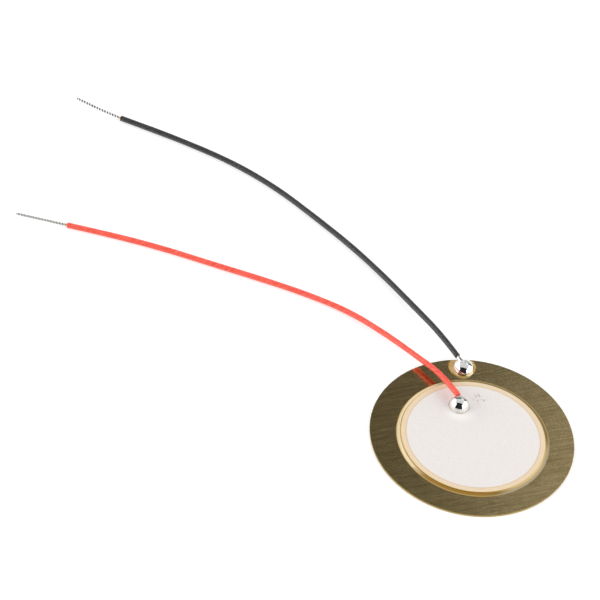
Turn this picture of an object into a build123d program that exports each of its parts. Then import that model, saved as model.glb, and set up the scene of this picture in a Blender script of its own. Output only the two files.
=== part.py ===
from build123d import *
import math
import os

# Piezo disc: a ceramic disc glued on a round brass plate, with two soldered leads.
# Millimetres. The origin is the centre of the plate's underside, +Z points up through the
# ceramic, and +Y runs from the centre to the negative joint at the plate's rim.

# ---- driving dimensions -------------------------------------------------------------

ceramic_diameter = 14.14
ceramic_thickness = 0.19
ceramic_edge_break = 0.015
ceramic_shift = (0.06, -0.16)          # the ceramic is glued a little off the plate's centre

brass_margin = 2.93                    # bare plate from the ceramic's edge to the rim
plate_thickness = 0.20
plate_edge_round = 0.03

glue_film = 0.01
glue_ring_width = 0.45                 # squeezed-out glue, from the ceramic's edge outwards
glue_ring_height = 0.15                # how far the glue climbs up the ceramic's side
glue_foot_angle = 5.0                  # between the plate and the ring's outer edge, in degrees

electrode_thickness = 0.01
upper_electrode_margin = 0.57          # bare ceramic round the electrode
lower_electrode_margin = 0.17

negative_rim_gap = 0.07                # from the solder to the plate's rim
negative_solder_diameter = 2.18
negative_solder_height = 1.02
positive_joint_place = (-0.97, 3.69)
positive_solder_diameter = 2.00
positive_solder_height = 1.08

# The flux is a low lens, highest at its middle, where the solder stands in it.
negative_flux_spread = 0.30            # from the solder outwards, on average
negative_flux_height = 0.20
negative_flux_shift = (-0.13, 0.20)    # it ran out towards the rim
negative_flux_slope = 30.0             # how it thins out at the rim, in degrees from upright
positive_flux_spread = 0.07
positive_flux_height = 0.30

insulation_diameter = 0.56
conductor_diameter = 0.24              # seven tinned strands, twisted
conductor_clearance = 0.01             # between the conductor and the bore of the insulation
bare_end_length = 5.1
negative_embed = 0.70                  # conductor's length inside the solder and its neck
positive_embed = 0.60
neck_diameter = 0.62                   # solder drawn up along the negative conductor

# Routes of the insulated leads, from the joint to the bare end: X, Y, and the height above a
# lead that lies on the surface that the plate stands on. Both leave their joint almost level,
# sink past the plate's rim and lie on that surface.
red_route = [
    (-1.14, 4.47, 0.99),
    (-2.35, 6.85, 0.98),
    (-4.65, 9.45, 0.80),
    (-7.45, 12.75, 0.36),
    (-10.85, 16.0, 0.03),
    (-15.1, 18.3, 0),
    (-19.7, 20.25, 0),
    (-24.3, 22.05, 0),
    (-29.0, 23.95, 0),
    (-33.7, 25.5, 0),
    (-38.4, 26.8, 0),
]
black_route = [
    (-0.6, 9.7, 0.70),
    (-2.0, 12.75, 0.60),
    (-4.25, 16.55, 0.29),
    (-6.9, 20.9, 0.03),
    (-9.9, 25.0, 0),
    (-13.35, 28.95, 0),
    (-16.95, 32.85, 0),
    (-21.15, 36.25, 0),
    (-25.6, 38.85, 0),
    (-29.0, 40.6, 0),
    (-32.4, 42.25, 0),
]

# ---- sizes that follow from them ----------------------------------------------------

ceramic_radius = ceramic_diameter / 2
plate_radius = ceramic_radius + brass_margin
upper_electrode_radius = ceramic_radius - upper_electrode_margin
lower_electrode_radius = ceramic_radius - lower_electrode_margin
insulation_radius = insulation_diameter / 2
conductor_radius = conductor_diameter / 2
bore_radius = conductor_radius + conductor_clearance

lower_electrode_base = plate_thickness + glue_film
ceramic_base = lower_electrode_base + electrode_thickness
ceramic_top = ceramic_base + ceramic_thickness
electrode_top = ceramic_top + electrode_thickness

negative_joint_radius = plate_radius - negative_rim_gap - negative_solder_diameter / 2
ceramic_centre = (ceramic_shift[0], ceramic_shift[1], 0)
negative_centre = (0, negative_joint_radius, plate_thickness)
positive_centre = (positive_joint_place[0], positive_joint_place[1], electrode_top)


def in_space(route):
    """The route's points, with the height of the lead's centre where it lies added."""
    return [Vector(x, y, insulation_radius + rise) for x, y, rise in route]


def bend_radii(points):
    """Arc radius at each inner point: as large as the two runs that meet there allow."""
    radii = []
    for before, corner, after in zip(points, points[1:], points[2:]):
        run_in, run_out = corner - before, after - corner
        half_turn = math.radians(run_in.get_angle(run_out)) / 2
        radii.append(0.45 * min(run_in.length, run_out.length) / math.tan(half_turn))
    return radii


def lengthened(points, at_start, at_end):
    """The same route with its first and last runs made longer, straight on."""
    first = points[0] + (points[0] - points[1]).normalized() * at_start
    last = points[-1] + (points[-1] - points[-2]).normalized() * at_end
    return [first, *points[1:-1], last]


def rod_along(path, radius):
    """A round rod along a lead's path."""
    with BuildPart() as rod:
        with BuildSketch(path ^ 0):
            Circle(radius)
        sweep(path=path)
    return rod.part


def ball_of(width, height):
    """Radius of the ball that a drop of this width and height is cut from, and its centre's height."""
    radius = width / 2
    if height < radius:
        radius = (radius**2 + height**2) / (2 * height)
    return radius, height - radius


red_points = in_space(red_route)
black_points = in_space(black_route)
red_radii = bend_radii(red_points)
black_radii = bend_radii(black_points)

# ---- plate, glue, ceramic and electrodes --------------------------------------------

with BuildPart() as brass_plate:
    Cylinder(plate_radius, plate_thickness, align=(Align.CENTER, Align.CENTER, Align.MIN))
    fillet(brass_plate.edges().filter_by(GeomType.CIRCLE), plate_edge_round)

# One piece of cured glue: the film under the ceramic, and the ring squeezed out round it,
# whose outer face is a hollow curve from the ceramic's side down to the plate.
ring_foot = ceramic_radius + glue_ring_width
ring_crown = plate_thickness + glue_ring_height
ring_slope = math.atan2(glue_ring_height, glue_ring_width)
ring_chord = math.hypot(glue_ring_height, glue_ring_width)
ring_curve = ring_chord / 2 / math.sin(ring_slope - math.radians(glue_foot_angle))
with BuildPart() as glue_bond:
    with BuildSketch(Plane(ceramic_centre, x_dir=(1, 0, 0), z_dir=(0, -1, 0))):
        with BuildLine():
            RadiusArc((ring_foot, plate_thickness), (ceramic_radius, ring_crown), ring_curve)
            Polyline(
                (ceramic_radius, ring_crown),
                (ceramic_radius, ceramic_base),
                (lower_electrode_radius, ceramic_base),
                (lower_electrode_radius, lower_electrode_base),
                (0, lower_electrode_base),
                (0, plate_thickness),
                (ring_foot, plate_thickness),
            )
        make_face()
    revolve(axis=Axis(ceramic_centre, (0, 0, 1)))

with BuildPart() as lower_electrode:
    with BuildSketch(Plane.XY.offset(lower_electrode_base)):
        with Locations(ceramic_shift):
            Circle(lower_electrode_radius)
    extrude(amount=electrode_thickness)

with BuildPart() as ceramic_disc:
    with BuildSketch(Plane.XY.offset(ceramic_base)):
        with Locations(ceramic_shift):
            Circle(ceramic_radius)
    extrude(amount=ceramic_thickness)
    chamfer(ceramic_disc.edges().group_by(Axis.Z)[-1], ceramic_edge_break)

with BuildPart() as upper_electrode:
    with BuildSketch(Plane.XY.offset(ceramic_top)):
        with Locations(ceramic_shift):
            Circle(upper_electrode_radius)
    extrude(amount=electrode_thickness)

# ---- leads --------------------------------------------------------------------------

with BuildPart() as red_insulation:
    with BuildLine() as red_axis:
        FilletPolyline(*red_points, radius=red_radii)
    with BuildSketch(red_axis.line ^ 0):
        Circle(insulation_radius)
        Circle(bore_radius, mode=Mode.SUBTRACT)
    sweep()

with BuildPart() as red_conductor:
    with BuildLine() as red_core:
        FilletPolyline(*lengthened(red_points, positive_embed, bare_end_length), radius=red_radii)
    with BuildSketch(red_core.line ^ 0):
        Circle(conductor_radius)
    sweep()

with BuildPart() as black_insulation:
    with BuildLine() as black_axis:
        FilletPolyline(*black_points, radius=black_radii)
    with BuildSketch(black_axis.line ^ 0):
        Circle(insulation_radius)
        Circle(bore_radius, mode=Mode.SUBTRACT)
    sweep()

with BuildPart() as black_conductor:
    with BuildLine() as black_core:
        FilletPolyline(*lengthened(black_points, negative_embed, bare_end_length), radius=black_radii)
    with BuildSketch(black_core.line ^ 0):
        Circle(conductor_radius)
    sweep()

# ---- solder joints ------------------------------------------------------------------

# Each joint is a round drop, cut off flat where it wets the metal. The conductor is inside it,
# and the solder stops at the insulation.
with BuildPart() as positive_solder:
    ball_radius, ball_height = ball_of(positive_solder_diameter, positive_solder_height)
    with Locations(positive_centre):
        with Locations((0, 0, ball_height)):
            Sphere(ball_radius)
    split(bisect_by=Plane.XY.offset(electrode_top), keep=Keep.TOP)
    add(rod_along(red_axis.wires()[0], insulation_radius), mode=Mode.SUBTRACT)
    add(red_conductor.part, mode=Mode.SUBTRACT)

# Solder also ran up the bare strands here, as a neck that narrows to the insulation.
with BuildPart() as negative_solder:
    ball_radius, ball_height = ball_of(negative_solder_diameter, negative_solder_height)
    with Locations(negative_centre):
        with Locations((0, 0, ball_height)):
            Sphere(ball_radius)
    split(bisect_by=Plane.XY.offset(plate_thickness), keep=Keep.TOP)
    with BuildSketch(black_core.line ^ 0):
        Circle(neck_diameter / 2)
    with BuildSketch(black_axis.line ^ 0):
        Circle(bore_radius)
    loft()
    add(rod_along(black_axis.wires()[0], insulation_radius), mode=Mode.SUBTRACT)
    add(black_conductor.part, mode=Mode.SUBTRACT)

# Flux left round the foot of each joint, with the solder standing in it. The one at the rim
# thins out to nothing just before the plate's edge rounds over.
with BuildPart() as positive_flux:
    lens_radius, lens_height = ball_of(
        positive_solder_diameter + 2 * positive_flux_spread, positive_flux_height
    )
    with Locations(positive_centre):
        with Locations((0, 0, lens_height)):
            Sphere(lens_radius)
    split(bisect_by=Plane.XY.offset(electrode_top), keep=Keep.TOP)
    add(positive_solder.part, mode=Mode.SUBTRACT)

with BuildPart() as negative_flux:
    lens_radius, lens_height = ball_of(
        negative_solder_diameter + 2 * negative_flux_spread, negative_flux_height
    )
    with Locations(negative_centre):
        with Locations((negative_flux_shift[0], negative_flux_shift[1], lens_height)):
            Sphere(lens_radius)
    split(bisect_by=Plane.XY.offset(plate_thickness), keep=Keep.TOP)
    with BuildSketch(Plane.XY.offset(plate_thickness)):
        Circle(plate_radius - plate_edge_round)
    extrude(amount=negative_flux_height, taper=negative_flux_slope, mode=Mode.INTERSECT)
    add(negative_solder.part, mode=Mode.SUBTRACT)
    add(glue_bond.part, mode=Mode.SUBTRACT)

# ---- export -------------------------------------------------------------------------

pieces = {
    "brass_plate": brass_plate,
    "glue_bond": glue_bond,
    "lower_electrode": lower_electrode,
    "ceramic_disc": ceramic_disc,
    "upper_electrode": upper_electrode,
    "positive_solder": positive_solder,
    "negative_solder": negative_solder,
    "positive_flux": positive_flux,
    "negative_flux": negative_flux,
    "red_insulation": red_insulation,
    "red_conductor": red_conductor,
    "black_insulation": black_insulation,
    "black_conductor": black_conductor,
}

os.makedirs("parts", exist_ok=True)
for label, piece in pieces.items():
    piece.part.label = label
    export_step(piece.part, f"parts/{label}.step")

insulation_section = math.pi * (insulation_radius**2 - bore_radius**2)
conductor_section = math.pi * conductor_radius**2
for colour, axis, core, radii, insulation, conductor in (
    ("red", red_axis, red_core, red_radii, red_insulation, red_conductor),
    ("black", black_axis, black_core, black_radii, black_insulation, black_conductor),
):
    insulated_length = axis.wires()[0].length
    whole_length = core.wires()[0].length
    print(colour, "bend radii", [round(radius, 1) for radius in radii])
    print(colour, "insulated length", round(insulated_length, 2), "whole lead", round(whole_length, 2))
    print("  insulation volume", round(insulation.part.volume, 4),
          "section x length", round(insulation_section * insulated_length, 4))
    print("  conductor volume", round(conductor.part.volume, 4),
          "section x length", round(conductor_section * whole_length, 4))
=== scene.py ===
import math

import bpy
import numpy as np
from mathutils import Matrix, Vector


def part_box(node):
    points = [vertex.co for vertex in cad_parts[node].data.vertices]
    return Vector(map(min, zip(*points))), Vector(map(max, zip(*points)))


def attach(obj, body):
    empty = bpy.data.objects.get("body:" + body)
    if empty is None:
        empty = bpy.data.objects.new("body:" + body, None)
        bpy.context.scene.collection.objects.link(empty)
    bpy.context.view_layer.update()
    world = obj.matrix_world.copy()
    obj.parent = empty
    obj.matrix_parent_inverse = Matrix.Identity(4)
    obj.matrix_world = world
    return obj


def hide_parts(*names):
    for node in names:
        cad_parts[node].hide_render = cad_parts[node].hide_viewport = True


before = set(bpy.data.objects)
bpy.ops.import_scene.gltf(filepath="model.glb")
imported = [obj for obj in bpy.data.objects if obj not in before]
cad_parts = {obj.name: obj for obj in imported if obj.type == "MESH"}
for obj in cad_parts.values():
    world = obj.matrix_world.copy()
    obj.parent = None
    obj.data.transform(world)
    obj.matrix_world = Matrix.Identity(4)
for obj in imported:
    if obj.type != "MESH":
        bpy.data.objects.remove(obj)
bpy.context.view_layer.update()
print("frame loaded:", len(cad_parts), "nodes")

mm = 0.001                               # everything below is written in millimetres, and scaled once


def hue(text):
    # a colour written as six hexadecimal digits of display colour, turned to scene-linear light
    parts = [int(text[i:i + 2], 16) / 255 for i in (0, 2, 4)]
    return (*[c / 12.92 if c <= 0.04045 else ((c + 0.055) / 1.055) ** 2.4 for c in parts], 1.0)


def boxOf(node):
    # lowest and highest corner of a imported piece, in millimetres
    low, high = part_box(node)
    return np.array(low) / mm, np.array(high) / mm


def ripple(angle, waves, seed):
    # a closed wavy line: the mean of cosines with the given numbers of waves round the circle,
    # each with a random phase, so it stays between -1 and 1
    phases = np.random.default_rng(seed).uniform(0, 2 * np.pi, len(waves))
    return np.mean([np.cos(w * angle + p) for w, p in zip(waves, phases)], axis=0)


def ease(a, b, x):
    # 0 below a, 1 above b, and a smooth S between them
    t = np.clip((x - a) / (b - a), 0, 1)
    return t * t * (3 - 2 * t)


def turnsAround(count):
    return np.linspace(0, 2 * np.pi, count, endpoint=False)


def quadsOf(rows, columns, first=0, closedRows=False):
    # faces of a grid whose columns close into rings, and whose rows may close too
    i = np.arange(rows if closedRows else rows - 1)[:, None]
    j = np.arange(columns)[None, :]
    below, right = (i + 1) % rows, (j + 1) % columns
    corners = [i * columns + j, i * columns + right, below * columns + right, below * columns + j]
    return np.stack(np.broadcast_arrays(*corners), -1).reshape(-1, 4) + first


def fanOf(tip, ring, flip):
    # triangles from one vertex to a closed ring
    after = np.roll(ring, -1)
    sides = (after, ring) if flip else (ring, after)
    return np.stack([np.full(len(ring), tip), *sides], 1)


def pieceFrom(name, vertices, faces, attributes=None):
    # puts arrays into a mesh: vertices in millimetres, faces as a list of index arrays
    mesh = bpy.data.meshes.new(name)
    mesh.from_pydata((vertices * mm).tolist(), [], [f for block in faces for f in block.tolist()])
    mesh.validate()
    mesh.shade_smooth()
    for key, values in (attributes or {}).items():
        attribute = mesh.attributes.new(key, "FLOAT_VECTOR", "POINT")
        attribute.data.foreach_set("vector", np.ascontiguousarray(values, np.float32).ravel())
    piece = bpy.data.objects.new(name, mesh)
    bpy.context.scene.collection.objects.link(piece)
    return piece


def latheOf(name, rings, tipFirst, tipLast):
    # rings is rows x columns x 3, closed round each row, from the lower tip to the upper one.
    # Columns run anticlockwise seen from above, so the faces point outwards.
    rows, columns, _ = rings.shape
    vertices = np.vstack([rings.reshape(-1, 3), [tipFirst], [tipLast]])
    ring = np.arange(columns)
    faces = [
        quadsOf(rows, columns),
        fanOf(rows * columns, ring, True),
        fanOf(rows * columns + 1, ring + (rows - 1) * columns, False),
    ]
    return pieceFrom(name, vertices, faces)


def revolved(name, profile, centre, columns, radiusShift=None):
    # profile is a list of radius and height, from the axis underneath round to the axis on top.
    # radiusShift(angle, radius) moves a point outwards.
    profile = np.array(profile, float)
    angle = turnsAround(columns)[None, :]
    radius = np.repeat(profile[1:-1, :1], columns, 1)
    height = np.repeat(profile[1:-1, 1:], columns, 1)
    if radiusShift:
        radius = radius + radiusShift(angle, radius)
    x = centre[0] + radius * np.cos(angle)
    y = centre[1] + radius * np.sin(angle)
    tips = [(centre[0], centre[1], profile[k, 1]) for k in (0, -1)]
    return latheOf(name, np.stack([x, y, height], -1), *tips)


def roundedEdge(radius, low, high, edge, steps):
    # the outer edge of a disc, from its underside to its top, with both corners rounded by
    # a quarter circle of radius edge
    turn = np.linspace(0, np.pi / 2, steps)
    lower = [(radius - edge + edge * np.sin(t), low + edge - edge * np.cos(t)) for t in turn]
    upper = [(radius - edge + edge * np.cos(t), high - edge + edge * np.sin(t)) for t in turn]
    return [*lower, *upper]


cameraFacts = {
    "place": (-68.49, -259.224, 296.837),    # 400 mm from the disc
    "aim": (-15.548, 17.635, 0),             # the spot on the surface in the middle of the view
    "roll": 9.363,                           # degrees
    "lens": 247.62,
    "sensor": 36,
}


def placeCamera(facts):
    camera = bpy.data.objects.new("camera", bpy.data.cameras.new("camera"))
    bpy.context.scene.collection.objects.link(camera)
    camera.data.lens = facts["lens"]
    camera.data.sensor_width = facts["sensor"]
    camera.data.clip_start = 0.01
    camera.data.clip_end = 20
    place = Vector(facts["place"]) * mm
    look = (Vector(facts["aim"]) * mm - place).to_track_quat("-Z", "Y").to_matrix().to_4x4()
    roll = Matrix.Rotation(math.radians(facts["roll"]), 4, "Z")
    camera.matrix_world = Matrix.Translation(place) @ look @ roll
    bpy.context.scene.camera = camera


placeCamera(cameraFacts)
print("camera placed")


leadFacts = {
    "insulation": 0.56,                  # outer diameter
    "bore": 0.26,
    "strand": 0.08,                      # seven strands, six of them laid round the middle one
    "lay": 1.45,                         # length in which the strands' imprint goes once round
    "twist": 0.85,                       # the same for the strands, wound tighter when stripped
    "strandStep": 0.05,
    "sides": 42,
    "strandSides": 10,
    "swell": 0.006,                      # how much the insulation's radius wanders
    "imprint": 0.009,                    # how high the strands show through it, six to a turn
    "cut": 0.02,                         # rounding of its cut ends
}
redFacts = {
    "colour": "red",
    "embed": 0.45,                       # strands inside the joint
    "bareEnd": 5.3,
    "drift": (0, 0),                     # how far the bare end bends away from straight on
    "route": [
        (-1.10, 4.34, 1.25), (-2.35, 6.85, 1.26), (-4.65, 9.45, 1.08), (-7.45, 12.75, 0.64),
        (-10.85, 16.0, 0.31), (-15.1, 18.3, 0.28), (-19.7, 20.25, 0.28), (-24.3, 22.05, 0.28),
        (-29.0, 23.95, 0.28), (-33.7, 25.5, 0.28), (-38.4, 26.8, 0.28),
    ],
}
blackFacts = {
    "colour": "black",
    "embed": 0.70,
    "bareEnd": 5.1,
    "drift": (0.13, 0.50),
    "route": [
        (-0.6, 9.7, 0.98), (-2.0, 12.75, 0.88), (-4.25, 16.55, 0.57), (-6.9, 20.9, 0.31),
        (-9.9, 25.0, 0.28), (-13.35, 28.95, 0.28), (-16.95, 32.85, 0.28), (-21.15, 36.25, 0.28),
        (-25.6, 38.85, 0.28), (-29.0, 40.6, 0.28), (-32.4, 42.25, 0.28),
    ],
}


def smoothLine(name, route, resolution):
    # the points of the smooth line that a NURBS spline draws with the route as its control points
    curve = bpy.data.curves.new(name, "CURVE")
    curve.dimensions = "3D"
    curve.resolution_u = resolution
    spline = curve.splines.new("NURBS")
    spline.points.add(len(route) - 1)
    for point, place in zip(spline.points, route):
        point.co = (*[c * mm for c in place], 1)
    spline.order_u = 3
    spline.use_endpoint_u = True
    holder = bpy.data.objects.new(name, curve)
    bpy.context.scene.collection.objects.link(holder)
    bpy.context.view_layer.update()
    mesh = bpy.data.meshes.new_from_object(holder)
    points = np.empty(len(mesh.vertices) * 3, np.float32)
    mesh.vertices.foreach_get("co", points)
    bpy.data.objects.remove(holder)
    bpy.data.curves.remove(curve)
    bpy.data.meshes.remove(mesh)
    return points.reshape(-1, 3).astype(float) / mm


def carried(points):
    # for each point of a line that is nowhere upright: the distance along it, the level vector
    # across it, and the vector square to both
    along = np.r_[0, np.cumsum(np.linalg.norm(np.diff(points, axis=0), axis=1))]
    ahead = np.gradient(points, along, axis=0)
    ahead /= np.linalg.norm(ahead, axis=1)[:, None]
    across = np.cross(ahead, (0, 0, 1))
    across /= np.linalg.norm(across, axis=1)[:, None]
    return along, across, np.cross(across, ahead)


def insulationOf(name, points, facts, seed):
    # a ring carried along the line: along the outside, round the cut end, back through the bore
    # and round the other end, so that the rows close too. The ring turns with the strands' lay,
    # and outside it has six low lobes: radius = outer + imprint cos(6 angle), wandering a little.
    along, across, upward = carried(points)
    outer, bore, cut = facts["insulation"] / 2, facts["bore"] / 2, facts["cut"]
    length = along[-1]
    between = along[(along > 2 * cut) & (along < length - 2 * cut)]
    outside = np.r_[0, cut * 0.3, cut, between, length - cut, length - cut * 0.3, length]
    radii = outer + facts["swell"] * np.sin(outside * 0.9 + seed) * np.sin(outside * 0.37 + 2 * seed)
    radii[[0, -1]] -= cut
    radii[[1, -2]] -= cut * 0.3
    stations = np.r_[outside, along[::-1]]
    radii = np.r_[radii, np.full(len(along), bore)][:, None]
    lobes = np.r_[np.full(len(outside), facts["imprint"]), np.zeros(len(along))][:, None]
    column = turnsAround(facts["sides"])[None, :]
    turn = column + 2 * np.pi * stations[:, None] / facts["lay"]
    at = [np.stack([np.interp(stations, along, v[:, k]) for k in range(3)], -1)
          for v in (points, across, upward)]
    ring = np.cos(turn)[..., None] * at[1][:, None] + np.sin(turn)[..., None] * at[2][:, None]
    grid = at[0][:, None] + (radii + lobes * np.cos(6 * column))[..., None] * ring
    # a place on the cord for its finish: round it, turning with the lay, and along it
    onCord = np.stack(np.broadcast_arrays(np.cos(column), np.sin(column), stations[:, None]), -1)
    faces = [quadsOf(len(stations), facts["sides"], closedRows=True)]
    return pieceFrom(name, grid.reshape(-1, 3), faces, {"onCord": onCord.reshape(-1, 3)})


def strandsOf(name, points, facts, bareFrom):
    # seven round strands: one follows the line, and six go round it on a helix of radius one
    # strand's diameter. Each is a ring carried along its own line, rounded over at its ends.
    along, across, upward = carried(points)
    strand, lay = facts["strand"], facts["twist"]
    sides, rows = facts["strandSides"], len(points)
    ring = turnsAround(sides)[None, :]
    vertices, faces, placed, bundled = [], [], [], []
    for number in range(7):
        reach = strand if number else 0
        turn = 2 * np.pi * (along / lay + number / 6)
        offset = np.cos(turn)[:, None] * across + np.sin(turn)[:, None] * upward
        line = points + reach * offset
        _, aside, above = carried(line)
        # each strand ends at its own place, and shrinks to a blunt tip there
        toEnd = np.minimum(along, along[-1] - along - 0.05 * ((number * 3) % 7))
        radius = strand / 2 * np.sqrt(np.clip(toEnd / (strand / 2), 0.02, 1))
        circle = np.cos(ring)[..., None] * aside[:, None] + np.sin(ring)[..., None] * above[:, None]
        skin = line[:, None] + radius[:, None, None] * circle
        first = number * (rows * sides + 2)
        vertices += [skin.reshape(-1, 3), line[[0, -1]]]
        placed += [np.repeat(np.stack([turn, along, 0 * along + number], -1), sides, 0),
                   np.zeros((2, 3))]
        # how far out from the middle of the bundle, in strands, and how far past the insulation
        outward = np.linalg.norm(skin - points[:, None], axis=-1) / strand
        past = np.repeat(along[:, None] - bareFrom, sides, 1)
        bundled += [np.stack([outward, past, 0 * past], -1).reshape(-1, 3), np.zeros((2, 3))]
        start = first + np.arange(sides)
        faces += [quadsOf(rows, sides, first), fanOf(first + rows * sides, start, True),
                  fanOf(first + rows * sides + 1, start + (rows - 1) * sides, False)]
    attributes = {"onStrand": np.vstack(placed), "onBundle": np.vstack(bundled)}
    return pieceFrom(name, np.vstack(vertices), faces, attributes)


def makeLead(own, facts, seed):
    colour = own["colour"]
    points = smoothLine(colour + "Route", own["route"], 64)
    insulation = insulationOf(colour + "Insulation", points, facts, seed)
    first, last = points[0] - points[1], points[-1] - points[-2]
    first, last = first / np.linalg.norm(first), last / np.linalg.norm(last)
    step, bareEnd = facts["strandStep"], own["bareEnd"]
    length = np.linalg.norm(np.diff(points, axis=0), axis=1).sum()
    before = np.arange(own["embed"], 0, -step)[:, None] * first + points[0]
    out = np.arange(step, bareEnd + step / 2, step)[:, None]
    after = points[-1] + out * last + (out / bareEnd) ** 1.5 * (*own["drift"], 0)
    strands = strandsOf(colour + "Strands", np.vstack([before, points, after]), facts,
                        own["embed"] + length)
    for piece in (insulation, strands):
        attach(piece, "root")
    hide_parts(colour + "_insulation")
    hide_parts(colour + "_conductor")
    print(colour, "lead made, insulated length", round(float(length), 2), "mm")
    return insulation, strands


redInsulation, redStrands = makeLead(redFacts, leadFacts, 1)
blackInsulation, blackStrands = makeLead(blackFacts, leadFacts, 4)


plateLow, plateHigh = boxOf("brass_plate")
plateFacts = {
    "radius": round(float(plateHigh[0] - plateLow[0]) / 2, 2),
    "low": float(plateLow[2]),
    "top": float(plateHigh[2]),
    "edgeRound": 0.03,
    "burr": 0.012,                       # unevenness that the punch left on the rim
    "columns": 720,
}


def makePlate(facts):
    radius, low, top, edge = (facts[k] for k in ("radius", "low", "top", "edgeRound"))

    def burr(angle, r):
        rough = ripple(angle, (37, 53, 71, 97, 131, 163), 5) + 0.6 * ripple(angle, (3, 5, 8), 6)
        return facts["burr"] * rough * ease(radius - 0.12, radius - edge, r)

    flat = [(radius * s, low) for s in (0.3, 0.7, 0.97)] + [(radius - edge * 1.4, low)]
    rise = roundedEdge(radius, low, top, edge, 6)
    back = [(radius - edge * 1.4, top)] + [(radius * s, top) for s in (0.97, 0.85, 0.7, 0.3)]
    plate = revolved("brassPlate", [(0, low), *flat, *rise, *back, (0, top)], (0, 0),
                     facts["columns"], burr)
    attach(plate, "root")
    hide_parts("brass_plate")
    return plate


brassPlate = makePlate(plateFacts)
print("plate made")


ceramicLow, ceramicHigh = boxOf("ceramic_disc")
electrodeLow, electrodeHigh = boxOf("upper_electrode")
innerLow, innerHigh = boxOf("lower_electrode")
glueLow, glueHigh = boxOf("glue_bond")
ceramicFacts = {
    "centre": tuple(((ceramicLow + ceramicHigh) / 2)[:2]),
    "radius": float(ceramicHigh[0] - ceramicLow[0]) / 2,
    "low": float(ceramicLow[2]),
    "top": float(ceramicHigh[2]),
    "edgeRound": 0.02,
    "columns": 360,
}
electrodeFacts = {
    "radius": float(electrodeHigh[0] - electrodeLow[0]) / 2,
    "top": float(electrodeHigh[2]),
    "slope": 0.03,                       # width over which the printed silver thins out
    "ragged": 0.012,
    "columns": 720,
}
glueFacts = {
    "filmRadius": float(innerHigh[0] - innerLow[0]) / 2,
    "filmTop": float(innerLow[2]),
    "width": float(glueHigh[0] - glueLow[0]) / 2 - ceramicFacts["radius"],
    "crown": float(glueHigh[2]),
    "steep": 2.2,                        # how much steeper the glue stands at the ceramic
    "sunk": 0.004,                       # how far clear glue reaches into what it wets
    "wander": 0.05,                      # how far the ring's foot strays in and out
    "columns": 540,
    "rows": 14,
}


def makeCeramic(facts):
    radius, low, top = facts["radius"], facts["low"], facts["top"]
    edge = facts["edgeRound"]
    side = roundedEdge(radius, low, top, edge, 5)
    profile = [(0, low), (radius * 0.9, low), *side, (radius - edge * 1.6, top),
               (radius * 0.9, top), (radius * 0.4, top), (0, top)]
    ceramic = revolved("ceramicDisc", profile, facts["centre"], facts["columns"])
    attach(ceramic, "root")
    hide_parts("ceramic_disc")
    return ceramic


def makeElectrode(facts, ceramic):
    radius, top, base = facts["radius"], facts["top"], ceramic["top"]

    def ragged(angle, r):
        wave = ripple(angle, (41, 67, 89, 127, 173), 11) + ripple(angle, (4, 7, 11), 12)
        return facts["ragged"] * wave * ease(radius - 0.1, radius - 0.03, r)

    slope = facts["slope"]
    edge = [(radius, base), (radius - slope * 0.3, base + (top - base) * 0.55),
            (radius - slope, top), (radius - slope * 1.5, top)]
    profile = [(0, base), (radius * 0.95, base), *edge, (radius * 0.95, top),
               (radius * 0.5, top), (0, top)]
    electrode = revolved("upperElectrode", profile, ceramic["centre"], facts["columns"], ragged)
    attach(electrode, "root")
    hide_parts("upper_electrode")
    return electrode


def makeGlue(facts, ceramic, plate):
    radius, width, foot = ceramic["radius"], facts["width"], plate["top"]
    crown = facts["crown"]

    def wander(angle, r):
        stray = ripple(angle, (2, 3, 5), 21) + 0.35 * ripple(angle, (17, 29, 43), 22)
        return facts["wander"] * stray * ease(radius + width * 0.1, radius + width, r)

    # outer face: the height is the crown's times (e^(-k s) - e^-k) / (1 - e^-k), where s is the
    # share of the way out and k says how much steeper it stands at the ceramic than at its foot
    share = np.linspace(1, 0, facts["rows"])
    steep = facts["steep"]
    fall = (np.exp(-steep * share) - math.exp(-steep)) / (1 - math.exp(-steep))
    face = [(radius + width * s, foot + (crown - foot) * f) for s, f in zip(share, fall)]
    inner, floor = radius - facts["sunk"], foot - facts["sunk"]
    seat = [(inner, crown), (inner, ceramic["low"]), (facts["filmRadius"], ceramic["low"]),
            (facts["filmRadius"], facts["filmTop"]), (0, facts["filmTop"])]
    profile = [(0, floor), (radius * 0.5, floor), (radius + width, floor), *face, *seat]
    glue = revolved("glueBond", profile, ceramic["centre"], facts["columns"], wander)
    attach(glue, "root")
    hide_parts("glue_bond")
    return glue


ceramicDisc = makeCeramic(ceramicFacts)
upperElectrode = makeElectrode(electrodeFacts, ceramicFacts)
glueBond = makeGlue(glueFacts, ceramicFacts, plateFacts)
print("ceramic, silver and glue made")


positiveLow, positiveHigh = boxOf("positive_solder")
negativeHigh = boxOf("negative_solder")[1]
positiveFacts = {
    "name": "positive",
    "centre": (-0.955, 3.73),
    "foot": float(positiveLow[2]),
    "radius": float(positiveHigh[0] - positiveLow[0]) / 2,
    "height": float(positiveHigh[2] - positiveLow[2]),
    "collar": ((-1.04, 4.06, 1.10), (-1.12, 4.40, 1.26)),
    "collarRadii": (0.20, 0.13),
    "seed": 31,
}
negativeFacts = {
    "name": "negative",
    "centre": (0, 8.80),
    "foot": plateFacts["top"],
    "radius": float(negativeHigh[0]),
    "height": 0.93,
    "collar": ((-0.28, 9.02, 0.90), (-0.58, 9.68, 0.98)),
    "collarRadii": (0.32, 0.17),
    "seed": 37,
}
solderFacts = {
    "blend": 0.14,                       # how softly the collar runs into the drop
    "uneven": 0.008,
    "flare": 0.03,                      # how far the wetted foot runs out past the drop
    "flareHeight": 0.14,
    "eye": 0.45,                         # height that the surface is seen from, in its own height
    "halvings": 26,                      # how finely the surface is found along each ray
    "rows": 130,
    "columns": 240,
    "footRows": 4,
}


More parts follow.
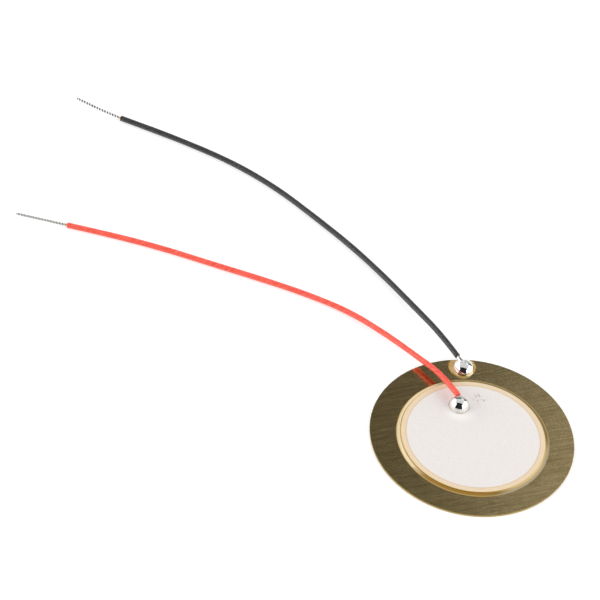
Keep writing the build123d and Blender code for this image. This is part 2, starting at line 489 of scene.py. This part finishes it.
def makeSolder(own, facts):
    # the surface where a blended distance is zero: the distance to the drop's ball and the
    # distance to the collar, a cone along the strands, joined by a polynomial smooth minimum
    base = np.array([*own["centre"], own["foot"]])
    radius = own["radius"] - facts["flare"]
    ball = max((radius ** 2 + own["height"] ** 2) / (2 * own["height"]), radius)
    middle = base + (0, 0, own["height"] - ball)
    start, end = (np.array(p) for p in own["collar"])
    wide, narrow = own["collarRadii"]
    axis = end - start

    def distance(p):
        away = p - middle
        size = np.linalg.norm(away, axis=-1)
        turn = np.arctan2(away[..., 1], away[..., 0])
        lift = np.clip(away[..., 2] / ball, 0, 1)
        uneven = facts["uneven"] * (ripple(turn, (1, 2, 3, 4), own["seed"]) * (1 - lift)
                                    + ripple(5 * lift + turn * 0, (1, 2), own["seed"] + 1))
        drop = size - ball * (1 + uneven)
        share = np.clip(((p - start) @ axis) / (axis @ axis), 0, 1)[..., None]
        collar = np.linalg.norm(p - start - share * axis, axis=-1)
        collar = collar - (wide + (narrow - wide) * share[..., 0])
        mix = np.clip(0.5 + 0.5 * (collar - drop) / facts["blend"], 0, 1)
        return collar + (drop - collar) * mix - facts["blend"] * mix * (1 - mix)

    def reach(origin, ray):
        # how far along each ray the surface lies, by halving
        near, far = np.zeros(ray.shape[:-1]), np.full(ray.shape[:-1], 3 * ball)
        for _ in range(facts["halvings"]):
            half = (near + far) / 2
            inside = distance(origin + half[..., None] * ray) < 0
            near, far = np.where(inside, half, near), np.where(inside, far, half)
        return (near + far) / 2

    turn = turnsAround(facts["columns"])
    level = np.stack([np.cos(turn), np.sin(turn), 0 * turn], -1)
    footRadius = reach(base, level)
    eye = base + (0, 0, facts["eye"] * own["height"])
    lowest = np.pi / 2 + np.arctan2(eye[2] - base[2], footRadius)
    tilt = np.linspace(1, 0, facts["rows"], endpoint=False)[:, None] * lowest[None, :]
    ray = np.sin(tilt)[..., None] * level[None] + np.cos(tilt)[..., None] * np.array([0, 0, 1.0])
    skin = eye + reach(eye, ray)[..., None] * ray
    skin[0] = base + footRadius[:, None] * level
    # the foot runs out in a hollow curve: flare times the cube of the share below flareHeight
    rise = np.clip((skin[..., 2] - base[2]) / facts["flareHeight"], 0, 1)
    skin += (facts["flare"] * (1 - rise) ** 3)[..., None] * level[None]
    under = np.linspace(0.2, 0.98, facts["footRows"])[:, None, None]
    under = base + under * (footRadius + facts["flare"])[None, :, None] * level[None]
    top = eye + reach(eye, np.array([[0, 0, 1.0]])) * np.array([0, 0, 1.0])
    solder = latheOf(own["name"] + "Solder", np.concatenate([under, skin]), base, top)
    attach(solder, "root")
    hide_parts(own["name"] + "_solder")
    return solder


positiveSolder = makeSolder(positiveFacts, solderFacts)
negativeSolder = makeSolder(negativeFacts, solderFacts)


positiveFluxLow, positiveFluxHigh = boxOf("positive_flux")
negativeFluxLow, negativeFluxHigh = boxOf("negative_flux")
positiveFluxFacts = {
    "name": "positive",
    "centre": positiveFacts["centre"],
    "foot": positiveFacts["foot"],
    "radius": float(positiveFluxHigh[0] - positiveFluxLow[0]) / 2,
    "height": 0.05,
    "wander": 0.03,
    "seed": 41,
}
negativeFluxFacts = {
    "name": "negative",
    "centre": (float(negativeFluxLow[0] + negativeFluxHigh[0]) / 2, 9.05),
    "foot": negativeFacts["foot"],
    "radius": float(negativeFluxHigh[0] - negativeFluxLow[0]) / 2,
    "height": 0.14,
    "wander": 0.06,
    "seed": 43,
}


fluxFacts = {
    "swell": 2.4,                        # the higher, the flatter its middle
    "rimGap": 1.5,                       # distance from the plate's rim, in its edge's rounding
    "rimBlend": 0.2,                     # how softly its outline turns to follow the rim
    "rows": 26,
    "columns": 300,
}


def makeFlux(own, facts, plate):
    # a low lens with an uneven outline: its height is the middle's height times
    # 1 - s^swell, where s is the share of the way from its centre to the outline
    turn = turnsAround(facts["columns"])
    stray = ripple(turn, (2, 3, 4, 7), own["seed"]) + 0.4 * ripple(turn, (13, 21), own["seed"] + 1)
    outline = own["radius"] + own["wander"] * stray
    level = np.stack([np.cos(turn), np.sin(turn)], -1)
    centre = np.array(own["centre"])
    # the way to the plate's rim: the positive root of |centre + t level| = rim
    rim = plate["radius"] - plate["edgeRound"] * facts["rimGap"]
    along = level @ centre
    toRim = -along + np.sqrt(along ** 2 - centre @ centre + rim ** 2)
    gap = np.clip(0.5 + 0.5 * (toRim - outline) / facts["rimBlend"], 0, 1)
    outline = toRim + (outline - toRim) * gap - facts["rimBlend"] * gap * (1 - gap)
    share = 1 - np.linspace(0, 1, facts["rows"], endpoint=False)[:, None] ** 1.6
    place = centre + (share * outline[None, :])[..., None] * level[None]
    height = own["foot"] + own["height"] * (1 - share ** facts["swell"]) * np.ones_like(outline)[None, :]
    upper = np.concatenate([place, height[..., None]], -1)
    # the flat underside needs only every sixth row
    lower = np.concatenate([place[::6][::-1], np.full_like(height[::6], own["foot"])[..., None]], -1)
    tips = [(*own["centre"], own["foot"]), (*own["centre"], own["foot"] + own["height"])]
    flux = latheOf(own["name"] + "Flux", np.concatenate([lower[:-1], upper]), *tips)
    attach(flux, "root")
    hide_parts(own["name"] + "_flux")
    return flux


positiveFlux = makeFlux(positiveFluxFacts, fluxFacts, plateFacts)
negativeFlux = makeFlux(negativeFluxFacts, fluxFacts, plateFacts)
print("solder and flux made")


class Signal:
    # an output socket, on which arithmetic adds Math nodes
    def __init__(self, finish, socket):
        self.finish = finish
        self.socket = socket

    def maths(self, operation, *others):
        values = dict(enumerate((self, *others)))
        return self.finish.node("ShaderNodeMath", {"operation": operation}, values)

    def __add__(self, other):
        return self.maths("ADD", other)

    def __sub__(self, other):
        return self.maths("SUBTRACT", other)

    def __mul__(self, other):
        return self.maths("MULTIPLY", other)

    def __rsub__(self, other):
        return self.maths("MULTIPLY_ADD", -1, other)

    __radd__ = __add__
    __rmul__ = __mul__

    def between(self, low, high):
        # 0 below low, 1 above high, smooth between
        values = {"Value": self, "From Min": low, "From Max": high}
        return self.finish.node("ShaderNodeMapRange", {"interpolation_type": "SMOOTHSTEP"}, values)


class Finish:
    # the nodes of one procedural material, or of the room round the part
    def __init__(self, name, world=None):
        self.owner = world or bpy.data.materials.new(name)
        self.owner.use_nodes = True
        self.tree = self.owner.node_tree
        self.tree.nodes.clear()

    def node(self, kind, settings=None, values=None, output=0):
        # settings come first, then the sockets; output None is for a node without any
        node = self.tree.nodes.new(kind)
        for key, value in (settings or {}).items():
            if key == "stops":
                self.setStops(node.color_ramp.elements, value)
            else:
                setattr(node, key, value)
        for key, value in (values or {}).items():
            if isinstance(value, Signal):
                self.tree.links.new(value.socket, node.inputs[key])
            else:
                node.inputs[key].default_value = value
        return None if output is None else Signal(self, node.outputs[output])

    def setStops(self, elements, stops):
        # each stop is a place between 0 and 1 and a colour; a new ramp has two already
        for place, _ in stops[2:]:
            elements.new(place)
        for element, (place, colour) in zip(elements, sorted(stops)):
            element.position = place
            element.color = colour

    def place(self, scale=(1, 1, 1), turn=0.0, shift=(0, 0, 0)):
        # Object coordinates in millimetres, turned about the upright axis, then stretched
        own = self.node("ShaderNodeTexCoord", output="Object")
        turned = self.node("ShaderNodeMapping", {"vector_type": "TEXTURE"},
                           {"Vector": own, "Rotation": (0, 0, math.radians(turn)),
                            "Location": [s * mm for s in shift], "Scale": (mm, mm, mm)})
        return self.node("ShaderNodeVectorMath", {"operation": "MULTIPLY"}, {0: turned, 1: scale})

    def carriedPlace(self, name, scale=(1, 1, 1)):
        own = self.node("ShaderNodeAttribute", {"attribute_name": name}, output="Vector")
        return self.node("ShaderNodeVectorMath", {"operation": "MULTIPLY"}, {0: own, 1: scale})

    def noise(self, place, scale=1.0, detail=2.0, roughness=0.5, distortion=0.0):
        values = {"Vector": place, "Scale": scale, "Detail": detail, "Roughness": roughness,
                  "Distortion": distortion}
        return self.node("ShaderNodeTexNoise", {}, values)

    def axis(self, place, name):
        return self.node("ShaderNodeSeparateXYZ", {}, {0: place}, name)

    def far(self, place, centre=(0, 0, 0)):
        # distance from a point
        return self.node("ShaderNodeVectorMath", {"operation": "DISTANCE"},
                         {0: place, 1: centre}, "Value")

    def mixed(self, factor, first, second):
        settings = {"data_type": "RGBA", "clamp_factor": True}
        return self.node("ShaderNodeMix", settings, {0: factor, 6: first, 7: second}, 2)

    def ramp(self, factor, *stops):
        return self.node("ShaderNodeValToRGB", {"stops": stops}, {0: factor})

    def bump(self, height, depth):
        # depth is what a height of 1 stands out, in millimetres
        return self.node("ShaderNodeBump", {}, {"Height": height, "Distance": depth * mm})

    def cover(self, *pieces, **sockets):
        # finishes the material with a Principled shader and puts it on the pieces
        values = {key.replace("_", " "): value for key, value in sockets.items()}
        shader = self.node("ShaderNodeBsdfPrincipled", {}, values)
        self.node("ShaderNodeOutputMaterial", {}, {"Surface": shader}, None)
        for piece in pieces:
            piece.data.materials.clear()
            piece.data.materials.append(self.owner)


brassFinishFacts = {
    "brushed": 14.0,                     # direction of the brush lines, degrees from X
    "dull": hue("C6AC74"),
    "bright": hue("F7E0A8"),
    # painted shade: the plate's colour grows darker towards -X
    "paintedShade": hue("B0985F"),               # towards -X
    "stain": hue("7C6538"),
    "cutEdge": hue("B69C5E"),
    "scratch": hue("FFE9AE"),
    "fine": (0.40, 10, 1),               # lines to a millimetre, along and across the brushing
    "broad": (0.10, 2.6, 1),
    "roughness": 0.17,
}
# cured glue over brass: its colours from the ceramic outwards, round most of the ring and on
# three parts of it; the dark last stop at its foot is painted shade. The three parts are painted
# light: a painted reflection towards 172 and towards -38 degrees, and painted shade towards -112.
# A stretch has its direction from the centre in degrees, how level with that direction it starts
# and is full, and its colours.
glueFinishFacts = {
    "colours": ((0.0, "C08E22"), (0.22, "70602F"), (0.60, "76663A"), (0.86, "B79858"),
                (0.97, "75653A")),
    "reflectionAndShadeStretches": (
        (172, 0.35, 0.62, ((0.0, "B08A38"), (0.14, "BC9A52"), (0.26, "EBDCB8"), (0.66, "ECD9B0"),
                           (0.84, "DCB673"), (0.96, "6C5733"))),
        (-112, 0.72, 0.92, ((0.0, "986C14"), (0.40, "9A701C"), (0.58, "84703C"), (0.80, "BE9648"),
                            (0.97, "6C5733"))),
        (-38, 0.72, 0.90, ((0.0, "DCC492"), (0.20, "C9A85A"), (0.42, "AE9E80"), (0.90, "A09072"),
                           (0.98, "78683F"))),
    ),
    "metallic": 0.12,                    # how much of the brass shines through it
    "roughness": 0.16,
}
silverFinishFacts = {
    "plain": hue("EBE6E3"),
    "grain": hue("DDD7D2"),
    "mark": hue("8E8C88"),
    "markPlace": (2.1, 0.9),             # from the joint
    # pale patch round the joint: cleaned silver, widened with painted light
    "wipedAndLit": hue("F9F8F7"),
    "wipedAndLitPlace": (0.1, -0.3),
    "weaveTurn": 74,                     # direction of the printing screen's threads
    "metallic": 0.12,
    "roughness": 0.42,
}
ceramicFinishFacts = {
    "plain": hue("DCC5A4"),
    "pale": hue("E3CFB0"),
    "edge": hue("B08F50"),
    "inner": hue("CDB191"),
    "roughness": 0.45,
}
solderFinishFacts = {"frosted": hue("E4E4E2"), "bright": hue("F6F6F5"), "roughness": 0.04}
fluxFinishFacts = {
    "edge": hue("AE802E"),
    "thick": hue("D4B478"),
    "faint": hue("E2D3C0"),
    "metallic": 0.15,
    "roughness": 0.12,
}
redVinylFacts = {
    "plain": hue("F8604E"),
    "blotch": hue("EA4C38"),
    # painted highlight flecks
    "paintedHighlight": hue("FF8E7C"),
    "roughness": 0.36,
    "shine": 0.5,
}
blackVinylFacts = {
    "plain": hue("2C2E2C"),
    "blotch": hue("141514"),
    # painted highlight flecks
    "paintedHighlight": hue("4A4C4A"),
    "roughness": 0.22,
    "shine": 0.75,
}
strandFinishFacts = {
    "bright": hue("FBFAF7"),
    "tarnish": hue("DAD7D1"),
    # dirt and painted shade, in the grooves and between the beads
    "grooveDirtAndShade": hue("1E1C1A"),
    "copper": hue("D9A24C"),
    "bead": 0.30,                        # length of each bead of tin
    "metallic": 0.1,
    "roughness": 0.35,
}


def finishBrass(facts, plate):
    f = Finish("brass")
    turn = facts["brushed"]
    fine = f.noise(f.place(facts["fine"], turn), 1, 3, 0.75)
    broad = f.noise(f.place(facts["broad"], turn), 1, 2)
    grain = f.noise(f.place(), 8, 2, 0.6)
    clouds = f.noise(f.place(), 0.45, 2)
    x = f.axis(f.place(), "X")
    # gold scratches and pale specks, mostly on the +X side
    scratches = f.noise(f.place((0.55, 9, 1), turn, (3, 1, 0)), 1, 2).between(0.66, 0.74)
    specks = f.noise(f.place(), 7, 1).between(0.72, 0.78)
    marks = (scratches * 0.7 + specks * 0.6) * (x.between(2, 9) * 0.85 + 0.15)
    radius = f.far(f.place((1, 1, 0)))
    cut = radius.between(plate["radius"] - 0.05, plate["radius"] - 0.01)
    texture = fine * 0.5 + grain * 0.3 + broad * 0.2
    body = f.mixed(texture.between(0.35, 0.65), facts["dull"], facts["bright"])
    # painted shade: darker towards -X
    body = f.mixed((1 - x.between(-11, 5)) * 0.5, body, facts["paintedShade"])
    body = f.mixed(clouds.between(0.5, 0.8) * 0.2, body, facts["stain"])
    body = f.mixed(marks, body, facts["scratch"])
    body = f.mixed(cut, body, facts["cutEdge"])
    rough = facts["roughness"] + (texture - 0.5) * 0.12 + cut * 0.15
    relief = f.bump(fine + grain * 0.5, 0.004)
    f.cover(brassPlate, Base_Color=body, Metallic=1.0, Roughness=rough, Normal=relief)


def finishGlue(facts, ceramic, glue):
    f = Finish("glue")
    away = f.place((1, 1, 0), 0, (*ceramic["centre"], 0))
    x, y = (f.axis(away, name) for name in "XY")
    outer = ceramic["radius"] + glue["width"]
    blur = (f.noise(f.place(), 2.2, 2) - 0.5) * 0.25
    share = (f.far(away) - ceramic["radius"]) * (1 / glue["width"]) + blur * 0.4

    def across(colours):
        return f.ramp(share, *[(place, hue(colour)) for place, colour in colours])

    body = across(facts["colours"])
    # each of these is painted light: a painted reflection or painted shade laid over the glue's colours
    for degrees, start, full, colours in facts["reflectionAndShadeStretches"]:
        level = x * math.cos(math.radians(degrees)) + y * math.sin(math.radians(degrees))
        paintedLightStretch = (level * (1 / outer) + blur * 0.3).between(start, full)
        body = f.mixed(paintedLightStretch, body, across(colours))
    relief = f.bump(f.noise(f.place(), 3.0, 2), 0.01)
    f.cover(glueBond, Base_Color=body, Roughness=facts["roughness"] + blur * 0.3, Normal=relief,
            Metallic=facts["metallic"])


def finishSilver(facts, joint):
    f = Finish("silver")
    grain = f.noise(f.place(), 6.5, 3, 0.65)
    weave = f.noise(f.place((1.0, 6.0, 1), facts["weaveTurn"]), 1.2, 2)
    body = f.mixed(grain.between(0.3, 0.75) * 0.6 + weave * 0.2, facts["plain"], facts["grain"])

    def fromJoint(away):
        # distance from a place that lies this far from the joint
        place = [c + a for c, a in zip(joint["centre"], away)]
        return f.far(f.place((1, 1, 0)), (*place, 0))

    # a few grey touches of the iron beside the joint
    spot = fromJoint(facts["markPlace"])
    near = 1 - spot.between(0.2, 1.0)
    touched = f.noise(f.place(), 3.4, 2).between(0.54, 0.64) * near
    body = f.mixed(touched * 0.7, body, facts["mark"])
    # paler round the joint, partly where the flux was cleaned away and partly painted light that evens
    # out the drop's shade on the silver
    wipedAndLit = fromJoint(facts["wipedAndLitPlace"])
    body = f.mixed((1 - wipedAndLit.between(1.0, 2.1)) * 0.6, body, facts["wipedAndLit"])
    rough = facts["roughness"] + (grain - 0.5) * 0.15
    f.cover(upperElectrode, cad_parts["lower_electrode"], Base_Color=body, Roughness=rough,
            Metallic=facts["metallic"], Normal=f.bump(grain, 0.004))


def finishCeramic(facts, ceramic, electrode):
    f = Finish("ceramic")
    grain = f.noise(f.place(), 5.0, 3, 0.6)
    radius = f.far(f.place((1, 1, 0)), (*ceramic["centre"], 0))
    edge = radius.between(ceramic["radius"] - 0.04, ceramic["radius"] - 0.01)
    inner = 1 - radius.between(electrode["radius"] + 0.04, electrode["radius"] + 0.16)
    body = f.mixed(grain, facts["plain"], facts["pale"])
    body = f.mixed(inner * 0.7, body, facts["inner"])
    body = f.mixed(edge, body, facts["edge"])
    f.cover(ceramicDisc, Base_Color=body, Roughness=facts["roughness"] + grain * 0.1,
            Normal=f.bump(grain, 0.002))


def finishSolder(facts):
    f = Finish("solder")
    frost = f.noise(f.place(), 4.0, 3, 0.6)
    body = f.mixed(frost, facts["frosted"], facts["bright"])
    rough = facts["roughness"] + frost.between(0.5, 0.8) * 0.06
    f.cover(positiveSolder, negativeSolder, Base_Color=body, Metallic=1.0, Roughness=rough,
            Normal=f.bump(f.noise(f.place(), 1.8, 2), 0.01))


def finishFlux(facts, joint, ring):
    # amber rosin over brass, deeper in colour at its outline, and hardly any at the other joint
    f = Finish("flux")
    swirl = f.noise(f.place(), 3.2, 3, 0.6, 0.6)
    out = f.far(f.place((1, 1, 0)), (*ring["centre"], 0)) * (1 / ring["radius"])
    body = f.mixed((out + (swirl - 0.5) * 0.3).between(0.86, 0.98), facts["thick"], facts["edge"])
    there = 1 - f.far(f.place((1, 1, 0)), (*joint["centre"], 0)).between(1.5, 2.5)
    body = f.mixed(there * 0.9, body, facts["faint"])
    f.cover(positiveFlux, negativeFlux, Base_Color=body, Normal=f.bump(swirl, 0.02),
            Roughness=facts["roughness"] + swirl * 0.1, Metallic=facts["metallic"])


def finishVinyl(name, piece, facts):
    f = Finish(name)
    blotch = f.noise(f.carriedPlace("onCord", (1.3, 1.3, 1.6)), 1.0, 3, 0.6)
    fine = f.noise(f.carriedPlace("onCord", (3.5, 3.5, 7)), 1.0, 2)
    # painted highlight: lighter flecks and streaks along the cord
    paintedHighlight = f.noise(f.carriedPlace("onCord", (2.2, 2.2, 4.0)), 1.0, 1).between(0.55, 0.68)
    body = f.mixed(blotch.between(0.3, 0.7), facts["plain"], facts["blotch"])
    body = f.mixed(paintedHighlight * 0.4, body, facts["paintedHighlight"])
    rough = facts["roughness"] + (blotch - 0.5) * 0.25
    f.cover(piece, Base_Color=body, Roughness=rough, Specular_IOR_Level=facts["shine"],
            Normal=f.bump(blotch + fine * 0.6, 0.03))


def finishStrands(facts):
    f = Finish("tinnedCopper")
    own = f.carriedPlace("onStrand")
    tarnish = f.noise(f.carriedPlace("onStrand", (0.4, 2.0, 5.0)), 1.0, 3, 0.6)
    # the tin stands in beads, on a thread that winds once in each bead's length; the darkened thread
    # between the beads is painted shade
    wind = f.axis(own, "Y") * (2 * math.pi / facts["bead"]) + f.axis(own, "X")
    paintedShade = wind.maths("SINE").between(-0.15, 0.15)
    # painted shade, with some dirt, in the grooves between the outer strands
    bundle = f.carriedPlace("onBundle")
    grooveDirtAndShade = 1 - f.axis(bundle, "X").between(1.05, 1.42)
    past = f.axis(bundle, "Y")
    copper = past.between(-0.2, 0.0) * (1 - past.between(0.05, 0.3))
    body = f.mixed(tarnish.between(0.3, 0.75), facts["bright"], facts["tarnish"])
    # painted shade in the grooves and between the beads
    body = f.mixed(grooveDirtAndShade * 0.25 + paintedShade * 0.95, body, facts["grooveDirtAndShade"])
    body = f.mixed(copper * 0.8, body, facts["copper"])
    f.cover(redStrands, blackStrands, Base_Color=body, Metallic=facts["metallic"],
            Roughness=facts["roughness"] + tarnish * 0.15, Normal=f.bump(tarnish, 0.004))


finishBrass(brassFinishFacts, plateFacts)
finishGlue(glueFinishFacts, ceramicFacts, glueFacts)
finishSilver(silverFinishFacts, positiveFacts)
finishCeramic(ceramicFinishFacts, ceramicFacts, electrodeFacts)
finishSolder(solderFinishFacts)
finishFlux(fluxFinishFacts, positiveFacts, negativeFluxFacts)
finishVinyl("redVinyl", redInsulation, redVinylFacts)
finishVinyl("blackVinyl", blackInsulation, blackVinylFacts)
finishStrands(strandFinishFacts)
print("finishes made")

studioFacts = {
    "floorSize": 4000,
    "floorDrop": 0.02,                   # how far the floor is below the plate's underside
    "sheet": hue("B4B4B4"),              # the floor's own colour, and its glow
    "glow": hue("FDFDFD"),
    "glowStrength": 0.62,
    "cameraTurn": -14.8,                 # the camera's direction; lights stand round it
    "gloom": 0.115,                      # brightness of the room between the lights
    "gloomAtCamera": 0.025,
    "gloomFade": 0.4,                    # how level with the camera's direction that is full
    "backdrop": 0.95,
    "mirroredAhead": 2,                  # how far each mirrored lamp stands in front of its twin
}
# each light: degrees round from the camera to its right, distance and height of its centre,
# how far it is pushed away from the camera and to the right, its width and height, its
# brightness, and its brightness where a shiny surface mirrors it
sideBox = {"out": 330, "push": (0, 0), "up": 175, "size": (640, 350), "level": 3.4, "shine": 1.5}
lightFacts = {
    "leftBox": {**sideBox, "turn": -85},
    "rightBox": {**sideBox, "turn": 85},
    "topPanel": {"turn": 0, "out": 0, "push": (70, 0), "up": 520, "size": (1000, 562),
                 "level": 0.60, "shine": 0.64},
    "rearCard": {"turn": 180, "out": 420, "push": (0, 0), "up": 140, "size": (560, 280),
                 "level": 0.5, "shine": 0.5},
    "rightCard": {"turn": 150, "out": 420, "push": (0, 0), "up": 440, "size": (280, 270),
                  "level": 0.6, "shine": 0.6},
    "nearCard": {"turn": 0, "out": 0, "push": (138, 62), "up": 150, "size": (110, 90),
                 "level": 0.22, "shine": 0.22},
}


def makeFloor(facts):
    # a plain pale sheet, lit partly from below, so that the shade on it stays soft and faint
    half, low = facts["floorSize"] / 2, -facts["floorDrop"]
    corners = np.array([(-half, -half, low), (half, -half, low), (half, half, low),
                        (-half, half, low)])
    floor = pieceFrom("floor", corners, [np.array([[0, 1, 2, 3]])])
    f = Finish("floorSheet")
    f.cover(floor, Base_Color=facts["sheet"], Roughness=0.8, Specular_IOR_Level=0.0,
            Emission_Color=facts["glow"], Emission_Strength=facts["glowStrength"])


def makeLight(name, facts, studio):
    back = math.radians(studio["cameraTurn"])
    angle = back + math.radians(facts["turn"])
    place = Vector((math.sin(angle) * facts["out"], -math.cos(angle) * facts["out"], facts["up"]))
    place += facts["push"][0] * Vector((-math.sin(back), math.cos(back), 0))
    place += facts["push"][1] * Vector((math.cos(back), math.sin(back), 0))
    # an upright light faces the axis over the disc; one overhead faces down, square to the camera
    if facts["out"]:
        facing = Vector((-place.x, -place.y, 0)).to_track_quat("-Z", "Y").to_matrix().to_4x4()
    else:
        facing = Matrix.Rotation(angle, 4, "Z")
    # one lamp that shiny surfaces don't mirror, and one just in front of it that only they see
    twins = (("", facts["level"], 0), ("Mirrored", facts["shine"], studio["mirroredAhead"]))
    for part, level, ahead in twins:
        data = bpy.data.lights.new(name + part, "AREA")
        data.shape = "RECTANGLE"
        data.size, data.size_y = (s * mm for s in facts["size"])
        data.energy = level * math.pi * data.size * data.size_y
        light = bpy.data.objects.new(name + part, data)
        bpy.context.scene.collection.objects.link(light)
        light.visible_glossy = bool(part)
        light.visible_diffuse = not part
        nearer = Matrix.Translation((0, 0, -ahead * mm))
        light.matrix_world = Matrix.Translation(place * mm) @ facing @ nearer


def makeRoom(facts):
    # a dim room, darker on the side where the camera stands, with a pale backdrop behind the view
    world = bpy.data.worlds.new("room")
    bpy.context.scene.world = world
    f = Finish("room", world)
    back = math.radians(facts["cameraTurn"])
    way = f.node("ShaderNodeTexCoord", output="Generated")
    facing = f.node("ShaderNodeVectorMath", {"operation": "DOT_PRODUCT"},
                    {0: way, 1: (math.sin(back), -math.cos(back), 0)}, "Value")
    gloom = f.node("ShaderNodeMapRange", {}, {
        "Value": facing, "From Min": 0.0, "From Max": facts["gloomFade"],
        "To Min": facts["gloom"], "To Max": facts["gloomAtCamera"],
    })
    white = (1, 1, 1, 1)
    dim = f.node("ShaderNodeBackground", {}, {"Color": white, "Strength": gloom})
    pale = f.node("ShaderNodeBackground", {}, {"Color": white, "Strength": facts["backdrop"]})
    seen = f.node("ShaderNodeLightPath", output="Is Camera Ray")
    shown = f.node("ShaderNodeMixShader", {}, {0: seen, 1: dim, 2: pale})
    f.node("ShaderNodeOutputWorld", {}, {"Surface": shown}, None)


makeFloor(studioFacts)
for lightName, light in lightFacts.items():
    makeLight(lightName, light, studioFacts)
makeRoom(studioFacts)
bpy.context.scene.view_settings.view_transform = "Standard"
print("studio made")
